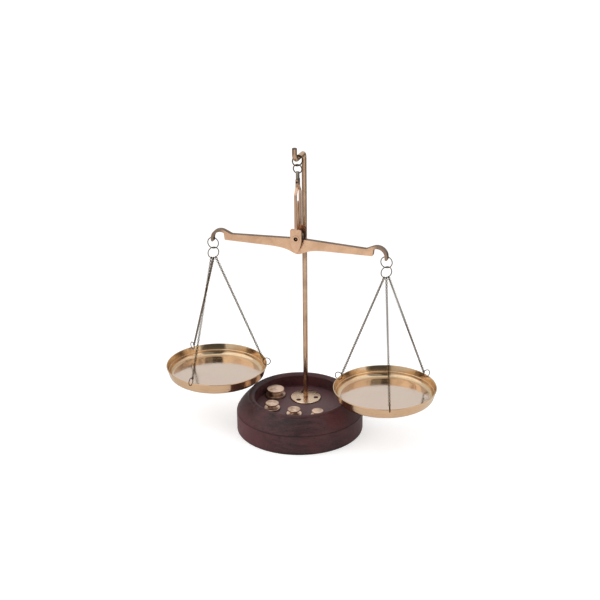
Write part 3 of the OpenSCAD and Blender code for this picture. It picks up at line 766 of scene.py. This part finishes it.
def pan_tree():
    t = Tree("spun_pan", {
        "Centre": "Vector", "Rim radius": "Float", "Flare": "Float", "Height": "Float", "Sheet": "Float",
        "Corner": "Float", "Ridge height": "Float", "Ridge step": "Float", "Bead": "Float",
        "Dish": "Float", "Depth": "Float",
        "First hole": "Float", "Hole circle": "Float", "Hole height": "Float", "Hole radius": "Float",
        "Around": "Int", "Finish": "Material"})
    give = t.given

    def sum_of(a, b):
        return t.maths("ADD", a, b)

    def less(a, b):
        return t.maths("SUBTRACT", a, b)

    def times(a, b):
        return t.maths("MULTIPLY", a, b)

    def point(r, z):
        return t.add("ShaderNodeCombineXYZ", X=r, Z=z).outputs[0]

    def wall(z, inwards=0.0):
        """The wall's radius at height z, some way inwards from its outer face."""
        lean = t.maths("DIVIDE", give("Flare"), give("Height"))
        outer = less(give("Rim radius"), times(lean, less(give("Height"), z)))
        return less(outer, inwards)

    sheet, ridge, step = give("Sheet"), give("Ridge height"), give("Ridge step")
    foot_r = less(less(give("Rim radius"), give("Flare")), step)
    inner_r = less(foot_r, sheet)
    bead_low = less(give("Height"), times(give("Bead"), 2.0))
    over = sum_of(give("Rim radius"), times(give("Bead"), 0.7))
    ridge_top = sum_of(ridge, RIDGE_RISE)

    def dished(share, up, r):
        """A point of the floor, which lies lowest in the middle and rises as the square of the radius."""
        return point(times(r, share), less(up, sum_of(give("Depth"), times(give("Dish"), 1 - share ** 2))))

    outline = [(dished(k / FLOOR_STEPS, 0.0, foot_r), 0.0) for k in range(FLOOR_STEPS)] + [
        (dished(1.0, 0.0, foot_r), give("Corner")),
        (point(wall(ridge, step), ridge), OUTER_EDGE),
        (point(wall(ridge_top), ridge_top), OUTER_EDGE),
        (point(wall(bead_low, BEAD_FOOT), bead_low), BEAD_FOOT),
        (point(over, bead_low), times(give("Bead"), 0.9)),
        (point(over, give("Height")), times(give("Bead"), 0.9)),
        (point(wall(give("Height"), sheet), give("Height")), OUTER_EDGE),
        (point(wall(ridge_top, sheet), ridge_top), INNER_EDGE),
        (point(less(wall(ridge, sheet), step), ridge), INNER_EDGE),
        (dished(1.0, sheet, inner_r), less(give("Corner"), sheet))] + [
        (dished(k / FLOOR_STEPS, sheet, inner_r), 0.0) for k in reversed(range(FLOOR_STEPS))]
    line = t.add("GeometryNodeCurvePrimitiveLine")
    corners = t.add("GeometryNodeResampleCurve", Curve=line.outputs[0], Count=len(outline))
    number = t.add("GeometryNodeInputIndex").outputs[0]
    spots = t.pick(number, [p for p, _ in outline], "VECTOR")
    placed = t.add("GeometryNodeSetPosition", Geometry=corners.outputs[0], Position=spots)
    radii = t.pick(number, [r for _, r in outline], "FLOAT")
    rounded = t.add("GeometryNodeFilletCurve", Curve=placed.outputs[0], Radius=radii)
    rounded.mode = "POLY"
    rounded.inputs["Count"].default_value = FILLET_STEPS
    rounded.inputs["Limit Radius"].default_value = True
    dots = t.add("GeometryNodeCurveToPoints", Curve=rounded.outputs[0])
    dots.mode = "EVALUATED"
    size = t.add("GeometryNodeAttributeDomainSize", Geometry=dots.outputs[0])
    size.component = "POINTCLOUD"
    rows = size.outputs["Point Count"]

    grid = t.add("GeometryNodeMeshGrid", Size_X=1.0, Size_Y=1.0,
                 Vertices_X=sum_of(give("Around"), 1.0), Vertices_Y=rows)
    flat = t.add("ShaderNodeSeparateXYZ", Vector=t.add("GeometryNodeInputPosition").outputs[0])
    row = t.maths("ROUND", times(sum_of(flat.outputs[1], 0.5), less(rows, 1.0)))
    turn = times(sum_of(flat.outputs[0], 0.5), 2 * pi)
    spot = t.add("GeometryNodeSampleIndex", Geometry=dots.outputs[0], Index=row)
    spot.data_type = "FLOAT_VECTOR"
    t.link(t.add("GeometryNodeInputPosition").outputs[0], spot.inputs["Value"])
    taken = t.add("ShaderNodeSeparateXYZ", Vector=spot.outputs["Value"])
    wound = t.add("ShaderNodeCombineXYZ", X=times(taken.outputs[0], t.maths("COSINE", turn)),
                  Y=times(taken.outputs[0], t.maths("SINE", turn)), Z=taken.outputs[2])
    shell = t.add("GeometryNodeSetPosition", Geometry=grid.outputs[0],
                  Position=t.vector("ADD", wound.outputs[0], give("Centre")))
    joined = t.add("GeometryNodeMergeByDistance", Geometry=shell.outputs[0], Distance=SEAM)

    which = t.maths("ADD", give("First hole"), times(number, radians(120)))
    outward = t.add("ShaderNodeCombineXYZ", X=t.maths("COSINE", which), Y=t.maths("SINE", which)).outputs[0]
    beside = t.vector("ADD", t.vector("SCALE", outward, scale=give("Hole circle")),
                      point(0.0, give("Hole height")))
    at = t.vector("ADD", give("Centre"), beside)
    marks = t.add("GeometryNodePoints", Count=3, Position=at)
    facing = t.add("FunctionNodeAxesToRotation", Primary_Axis=outward, Secondary_Axis=(0, 0, 1))
    facing.primary_axis, facing.secondary_axis = "Z", "X"
    drill = t.add("GeometryNodeMeshCylinder", Vertices=24, Radius=give("Hole radius"), Depth=DRILL_LENGTH)
    drills = t.add("GeometryNodeInstanceOnPoints", Points=marks.outputs[0], Instance=drill.outputs[0],
                   Rotation=facing.outputs[0])
    cut = t.group.nodes.new("GeometryNodeMeshBoolean")
    cut.operation, cut.solver = "DIFFERENCE", "EXACT"
    t.link(joined.outputs[0], cut.inputs["Mesh 1"])
    t.link(t.add("GeometryNodeRealizeInstances", Geometry=drills.outputs[0]).outputs[0], cut.inputs["Mesh 2"])
    return t.close(cut.outputs[0], give("Finish"), CREASE)


PAN = pan_tree()
print("the pan tree has", len(PAN.group.nodes), "nodes")

# %% [markdown]
# Most of the pans' sizes repeat those of the solids. The corner is rounder, and the underside lies a
# millimetre lower. The real pans look deeper still, but with more depth they would strike the base
# when the fork swings. The volume of the grown mesh is printed: it has to be positive, or else its
# faces would point inwards.

# %% Grow the two pans
import bmesh

SIDES = {"left": (-ARM, radians(21)), "right": (ARM, radians(51))}      # axis, bearing of the first ring
HOLE_OUT, HOLE_UP = 0.050893, 0.055600
PAN_SIZES = {
    "Rim radius": 0.0519, "Flare": 0.0026, "Height": 0.0112, "Sheet": 0.0006, "Corner": 0.0052,
    "Ridge height": 0.0049, "Ridge step": 0.0003, "Bead": 0.0005, "Dish": 0.0001, "Depth": 0.0009,
    "Hole circle": HOLE_OUT, "Hole height": 0.0088, "Hole radius": 0.000675, "Around": 144}


def volume_of(piece):
    """The volume in cubic millimetres, and whether the mesh is closed."""
    form = bmesh.new()
    form.from_mesh(piece.data)
    held = form.calc_volume(signed=True) * 1e9
    closed = all(edge.is_manifold for edge in form.edges)
    form.free()
    return round(held, 1), closed


for side, (x, turn) in SIDES.items():
    piece = grown(f"{side}_spun_pan", PAN, {
        **PAN_SIZES, "Centre": (x, 0, PAN_FLOOR), "First hole": turn, "Finish": pan_finish[side]})
    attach(piece, f"{side}_pan")
    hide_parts(f"{side}_pan")
    print(piece.name, len(piece.data.polygons), "faces, volume and closed:", volume_of(piece))

# %% [markdown]
# ## The rings in the rims
#
# A chain ends in a small wire ring that passes through a hole in the pan's rim. Two places of each
# ring are fixed: the hole, and the hitch above it where the last link pulls. A circle of a given radius
# through two points has its middle on the line halfway between them, which is how the ring's place is
# found. The rings in the photograph are a little larger than those of the solid model, so they are
# grown through the same two points with a larger radius.

# %% Work out where a rim ring lies
HITCH_OUT, HITCH_HEIGHT = 0.048471, 0.061447
RIM_RADIUS, RIM_WIRE = 0.0039, 0.00085
RIM_AROUND, RIM_ACROSS = 40, 10         # faces round a rim ring and round its wire


def ring_through(hole, hitch, radius):
    """Out and up of the middle of the circle through both points, and the wire's way at the hitch."""
    apart = hitch - hole
    half = apart.length / 2
    outward = Vector((apart[1], -apart[0])).normalized()
    middle = (hole + hitch) / 2 + outward * sqrt(radius ** 2 - half ** 2)
    spoke = (hitch - middle).normalized()
    return middle, Vector((spoke[1], -spoke[0]))


HOLE, HITCH = Vector((HOLE_OUT, HOLE_UP)), Vector((HITCH_OUT, HITCH_HEIGHT))
RIM_MIDDLE, RIM_WAY = ring_through(HOLE, HITCH, RIM_RADIUS)
print("a rim ring's middle is", [round(v, 5) for v in RIM_MIDDLE])
print("its wire runs", [round(v, 3) for v in RIM_WAY])

# %% The tree that sets rings in a rim
def rim_ring_tree():
    t = Tree("rings_in_a_rim", {"Axis": "Vector", "First ring": "Float", "Out": "Float", "Count": "Int",
                                "Ring radius": "Float", "Ring wire": "Float", "Finish": "Material"})
    give = t.given
    number = t.add("GeometryNodeInputIndex").outputs[0]
    step = t.maths("DIVIDE", t.maths("MULTIPLY", number, 2 * pi), give("Count"))
    angle = t.maths("ADD", give("First ring"), step)
    outward = t.add("ShaderNodeCombineXYZ", X=t.maths("COSINE", angle), Y=t.maths("SINE", angle)).outputs[0]
    across = t.vector("CROSS_PRODUCT", (0, 0, 1), outward)
    at = t.vector("ADD", give("Axis"), t.vector("SCALE", outward, scale=give("Out")))
    points = t.add("GeometryNodePoints", Count=give("Count"), Position=at)
    facing = t.add("FunctionNodeAxesToRotation", Primary_Axis=across, Secondary_Axis=outward)
    facing.primary_axis, facing.secondary_axis = "Z", "X"
    ring = t.wire_ring(give("Ring radius"), give("Ring wire"), RIM_AROUND, RIM_ACROSS)
    rings = t.add("GeometryNodeInstanceOnPoints", Points=points.outputs[0], Instance=ring,
                  Rotation=facing.outputs[0])
    return t.close(rings.outputs[0], give("Finish"))


RIM_RINGS = rim_ring_tree()
for side, (x, turn) in SIDES.items():
    piece = grown(f"{side}_wire_rings", RIM_RINGS, {
        "Axis": (x, 0, RIM_MIDDLE[1]), "First ring": turn, "Out": RIM_MIDDLE[0], "Count": 3,
        "Ring radius": RIM_RADIUS, "Ring wire": RIM_WIRE, "Finish": ring_metal})
    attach(piece, f"{side}_pan")
    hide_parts(f"{side}_rim_rings")
    print(piece.name, len(piece.data.polygons), "faces, volume and closed:", volume_of(piece))

# %% [markdown]
# ## The chains
#
# Each pan hangs on three chains of plain round links. A chain could be one twisted tube with a pattern
# on it, but from near it would look like string. Here every link is a real ring, and a rule places
# them: the links stand at equal steps between two wires, and each is turned a quarter from its
# neighbour. The two wires at the ends ask for a turn that is seldom a whole number of quarters, so the
# small rest is shared among all links. A rule like this is what Geometry Nodes are for: the tree takes
# the two ends and the wire sizes, and works the rest out.

# %% [markdown]
# In the tree below, a link's place is counted from the middle of the upper wire. The first link hangs
# a little under half its own width below it, so that the two wires nearly touch inside each other.
# Each link also gets a shade and tone, kept as an attribute. The photograph shows a dotted chain, so the
# links that turn their flat side to the front are painted light and those that stand on edge are painted
# dark: painted light and shade. That rule is a guess at the look. No two links are quite alike: a little
# random tone is added too. The chain's finish reads that shade and tone.

# %% Mix the finish of the chain's links
def chain_brass():
    f = brass("old_chain_brass", srgb(150, 118, 74), srgb(96, 72, 44), 0.34, 220, 0.6, crevice=0.001)
    shade_and_tone = f.add("ShaderNodeAttribute")
    shade_and_tone.attribute_name = "link_shade_and_tone"
    # Painted light and shade: links standing on edge to the front are painted near black, those turned flat
    # to it stay light.
    return f.tint(f.ramp(shade_and_tone.outputs["Fac"], 0.20, 0.80, 0.0, 0.97), srgb(18, 10, 6)).material


chain_metal = chain_brass()
print("mixed", chain_metal.name)

# %% The tree that grows a chain
LINK_AROUND, LINK_ACROSS = 12, 5        # faces round a link and round its wire, few because links are many


def chain_tree():
    t = Tree("chain_of_round_links", {
        "Upper end": "Vector", "Upper wire's way": "Vector", "Upper wire": "Float",
        "Lower end": "Vector", "Lower wire's way": "Vector", "Lower wire": "Float",
        "Link diameter": "Float", "Link wire": "Float", "Gap": "Float", "Front": "Vector",
        "Finish": "Material"})
    give = t.given
    span = t.vector("SUBTRACT", give("Lower end"), give("Upper end"))
    way = t.vector("NORMALIZE", span)
    radius = t.maths("MULTIPLY", t.maths("SUBTRACT", give("Link diameter"), give("Link wire")), 0.5)
    half_gap = t.maths("MULTIPLY", give("Gap"), 0.5)

    def hang(wire, gap):
        both = t.maths("MULTIPLY", t.maths("ADD", wire, give("Link wire")), 0.5)
        return t.maths("SUBTRACT", t.maths("SUBTRACT", radius, both), gap)

    first = hang(give("Upper wire"), half_gap)
    last = hang(give("Lower wire"), give("Gap"))
    reach = t.maths("SUBTRACT", t.maths("SUBTRACT", t.vector("LENGTH", span), first), last)
    inner = t.maths("SUBTRACT", give("Link diameter"), t.maths("MULTIPLY", give("Link wire"), 2.0))
    steps = t.maths("CEIL", t.maths("DIVIDE", reach, t.maths("SUBTRACT", inner, half_gap)))

    a0 = t.square_to(give("Upper wire's way"), way)
    b0 = t.vector("CROSS_PRODUCT", way, a0)
    a1 = t.square_to(give("Lower wire's way"), way)
    end_turn = t.maths("ARCTAN2", t.vector("DOT_PRODUCT", a1, b0), t.vector("DOT_PRODUCT", a1, a0))
    rest = t.maths("SUBTRACT", end_turn, t.maths("MULTIPLY", steps, pi / 2))
    halves = t.maths("MULTIPLY", t.maths("ROUND", t.maths("DIVIDE", rest, pi)), pi)
    twist = t.maths("ADD", pi / 2, t.maths("DIVIDE", t.maths("SUBTRACT", rest, halves), steps))

    number = t.add("GeometryNodeInputIndex").outputs[0]
    along = t.maths("ADD", first, t.maths("MULTIPLY", reach, t.maths("DIVIDE", number, steps)))
    spot = t.vector("ADD", give("Upper end"), t.vector("SCALE", way, scale=along))
    points = t.add("GeometryNodePoints", Count=t.maths("ADD", steps, 1.0), Position=spot)
    link_way = t.turned(a0, b0, t.maths("MULTIPLY", twist, number))
    # Painted light and shade: a link on edge to the front gets a high value, one turned flat to it a low one;
    # the rest is random tone.
    edge_on = t.maths("SUBTRACT", 1.0, t.maths("ABSOLUTE", t.vector("DOT_PRODUCT", link_way, give("Front"))))
    chance = t.add("FunctionNodeRandomValue", Min=0.0, Max=0.2, Seed=7)
    odd = t.maths("MULTIPLY", t.maths("MODULO", number, 2.0), 0.1)
    shade_and_tone = t.maths("ADD", t.maths("MULTIPLY", edge_on, 0.9), odd)
    toned = t.add("GeometryNodeStoreNamedAttribute", Geometry=points.outputs[0], Name="link_shade_and_tone",
                  Value=t.maths("ADD", shade_and_tone, next(o for o in chance.outputs if o.enabled)))
    toned.domain, toned.data_type = "POINT", "FLOAT"
    facing = t.add("FunctionNodeAxesToRotation", Primary_Axis=link_way, Secondary_Axis=way)
    facing.primary_axis, facing.secondary_axis = "Z", "X"
    link = t.wire_ring(radius, give("Link wire"), LINK_AROUND, LINK_ACROSS)
    links = t.add("GeometryNodeInstanceOnPoints", Points=toned.outputs[0], Instance=link,
                  Rotation=facing.outputs[0])
    return t.close(links.outputs[0], give("Finish"))


CHAIN = chain_tree()
print("the chain tree has", len(CHAIN.group.nodes), "nodes")

# %% [markdown]
# The ends of a chain follow from the rings that it joins. The collecting ring is turned, and its three
# chains hang side by side on its lowest part: the chain of the rim ring that lies furthest one way
# takes the place furthest that way, so that none of them crosses another. At the pan the last link
# hangs in the upper inner part of the rim ring, which points outwards.

# %% Where each chain begins and ends
RING_TURN = radians(42)
RING_RADIUS, RING_WIRE = 0.00575, 0.0009
RING_HEIGHT = 0.181765
FAN = radians(25)
LINK_SIZES = {"Link diameter": 0.00295, "Link wire": 0.00062, "Gap": 0.0001}


def chain_ends(x, turn, number):
    """The two ends of chain 1, 2 or 3 and the ways of the wires that hold it."""
    angles = [turn + radians(120) * k for k in range(3)]
    order = sorted(range(3), key=lambda k: cos(angles[k] - RING_TURN))
    place = order.index(number - 1) - 1
    a = angles[number - 1]
    side = Vector((cos(RING_TURN), sin(RING_TURN), 0))
    lean, up = FAN * place, Vector((0, 0, 1))
    top = Vector((x, 0, RING_HEIGHT)) + RING_RADIUS * (side * sin(lean) - up * cos(lean))
    top_way = side * cos(lean) + up * sin(lean)
    foot = Vector((x + HITCH_OUT * cos(a), HITCH_OUT * sin(a), HITCH_HEIGHT))
    foot_way = Vector((RIM_WAY[0] * cos(a), RIM_WAY[0] * sin(a), RIM_WAY[1]))
    return top, top_way, foot, foot_way


for side, (x, turn) in SIDES.items():
    for number in (1, 2, 3):
        top, top_way, foot, foot_way = chain_ends(x, turn, number)
        piece = grown(f"{side}_link_chain_{number}", CHAIN, {
            "Upper end": top, "Upper wire's way": top_way, "Upper wire": RING_WIRE,
            "Lower end": foot, "Lower wire's way": foot_way, "Lower wire": RIM_WIRE,
            **LINK_SIZES, "Front": (sin(TURN), -cos(TURN), 0), "Finish": chain_metal})
        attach(piece, f"{side}_pan")
        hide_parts(f"{side}_chain_{number}")
        print(piece.name, len(piece.data.polygons) // (LINK_AROUND * LINK_ACROSS), "links")

# %% [markdown]
# ## Last steps
#
# The picture is shown with the Standard view, so that colours come out as they were mixed.

# %% Write the sizes and finish
bpy.context.scene.view_settings.view_transform = "Standard"
SEEN_BOX = [[float(v) for v in corner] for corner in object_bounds()]
print("scene from", SEEN_BOX[0], "to", SEEN_BOX[1])
